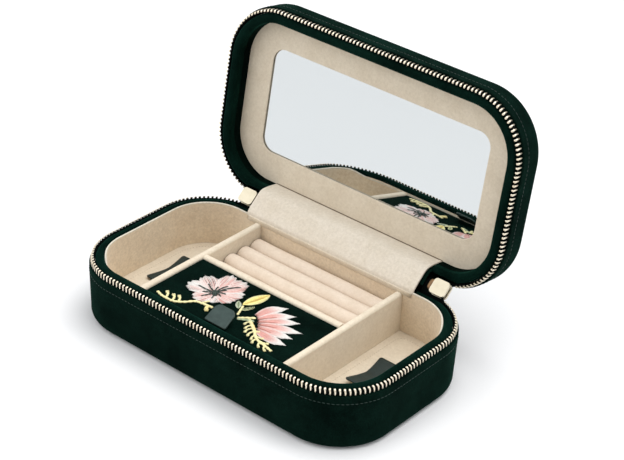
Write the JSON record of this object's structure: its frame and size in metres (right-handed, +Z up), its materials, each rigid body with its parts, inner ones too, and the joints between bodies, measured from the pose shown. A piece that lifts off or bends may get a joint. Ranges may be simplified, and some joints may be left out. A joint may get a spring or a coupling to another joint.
{
  "type": "travel jewelry case",
  "caption": "Zip-around velvet travel jewelry case with a mirrored lid, divided compartments, ring rolls and an embroidered inner flap",
  "frame": {"origin": "centre of the flat underside, below the centre of the zip loop", "axes": "+X along the width, +Y from the front towards the hinge, +Z up; the lid stands open"},
  "size_m": [0.2144, 0.1641, 0.159],
  "materials": {
    "outer_velvet": "matte",
    "rim_velvet": "matte",
    "greyboard": "matte",
    "pad_foam": "matte",
    "zip_tape": "matte",
    "zip_metal": "polished",
    "wall_suede": "matte",
    "light_suede": "matte",
    "roll_suede": "matte",
    "dark_leather": "satin",
    "pull_leather": "satin",
    "mirror_silver": "polished",
    "blossom_thread": "satin",
    "leaf_thread": "satin"
  },
  "bodies": {
    "base": {"base_underside": "outer_velvet", "base_cover": "outer_velvet", "base_floor_board": "greyboard", "base_wall_board": "greyboard", "base_wall_pad": "pad_foam", "base_band": "outer_velvet", "base_zip_tape": "zip_tape", "base_zip_teeth": "zip_metal", "base_rim": "rim_velvet", "base_edge_piping": "light_suede", "base_lining_wall": "wall_suede", "base_floor_pad": "pad_foam", "floor_lining_left": "light_suede", "floor_lining_right": "light_suede", "floor_lining_middle": "light_suede", "divider_left": "light_suede", "divider_right": "light_suede", "divider_cross": "light_suede", "ring_bed": "wall_suede", "ring_roll_1": "roll_suede", "ring_roll_2": "roll_suede", "ring_roll_3": "roll_suede", "ring_roll_4": "roll_suede", "bow_tab_left": "dark_leather", "bow_tab_right": "dark_leather", "hinge_lining": "light_suede", "hinge_cover": "outer_velvet"},
    "lid": {"lid_cover": "outer_velvet", "lid_top_panel": "outer_velvet", "lid_top_board": "greyboard", "lid_wall_board": "greyboard", "lid_wall_pad": "pad_foam", "lid_band": "outer_velvet", "lid_zip_tape": "zip_tape", "lid_zip_teeth": "zip_metal", "lid_rim": "rim_velvet", "lid_inner_wall": "rim_velvet", "lid_top_pad": "pad_foam", "mirror_panel": "light_suede", "mirror_glass": "mirror_silver", "mirror_backing": "greyboard", "hinge_lining_fixed": "light_suede"},
    "flap": {"flap_board": "rim_velvet", "flap_lining": "light_suede", "embroidery_flowers": "blossom_thread", "embroidery_leaves": "leaf_thread"},
    "flap_tab": {"flap_pull_tab": "pull_leather"},
    "slider_right_body": {"slider_right": "zip_metal", "zip_stop_right": "zip_metal"},
    "slider_left_body": {"slider_left": "zip_metal", "zip_stop_left": "zip_metal"},
    "pull_right_body": {"pull_right": "zip_metal"},
    "pull_left_body": {"pull_left": "zip_metal"}
  },
  "joints": [
    {"name": "lid_hinge", "type": "hinge", "parent": "base", "child": "lid", "pos_m": [0, 0.0627, 0.0386], "axis": [1, 0, 0], "range_deg": [0, 98.75], "deforming": ["hinge_lining", "hinge_cover"]},
    {"name": "flap_hinge", "type": "hinge", "parent": "base", "child": "flap", "pos_m": [0, -0.0013, 0.035], "axis": [1, 0, 0], "range_deg": [-95, 0]},
    {"name": "flap_tab_bend", "type": "hinge", "parent": "flap", "child": "flap_tab", "pos_m": [0, -0.04795, 0.0356], "axis": [1, 0, 0], "range_deg": [-15, 60]},
    {"name": "slider_right_tilt", "type": "hinge", "parent": "base", "child": "slider_right_body", "pos_m": [0.075, 0.0627, 0.0386], "axis": [1, 0, 0], "range_deg": [0, 49.38]},
    {"name": "pull_right_swing", "type": "hinge", "parent": "slider_right_body", "child": "pull_right_body", "pos_m": [0.075, 0.06255, 0.03985], "axis": [0, 0.759, 0.6511], "range_deg": [-120, 0]},
    {"name": "slider_left_tilt", "type": "hinge", "parent": "base", "child": "slider_left_body", "pos_m": [-0.071, 0.0627, 0.0386], "axis": [1, 0, 0], "range_deg": [0, 49.38]},
    {"name": "pull_left_swing", "type": "hinge", "parent": "slider_left_body", "child": "pull_left_body", "pos_m": [-0.071, 0.06255, 0.03985], "axis": [0, 0.759, 0.6511], "range_deg": [0, 120]}
  ],
  "couplings": [
    {"joint": "slider_right_tilt", "follows": "lid_hinge", "ratio": 0.5},
    {"joint": "slider_left_tilt", "follows": "lid_hinge", "ratio": 0.5}
  ]
}
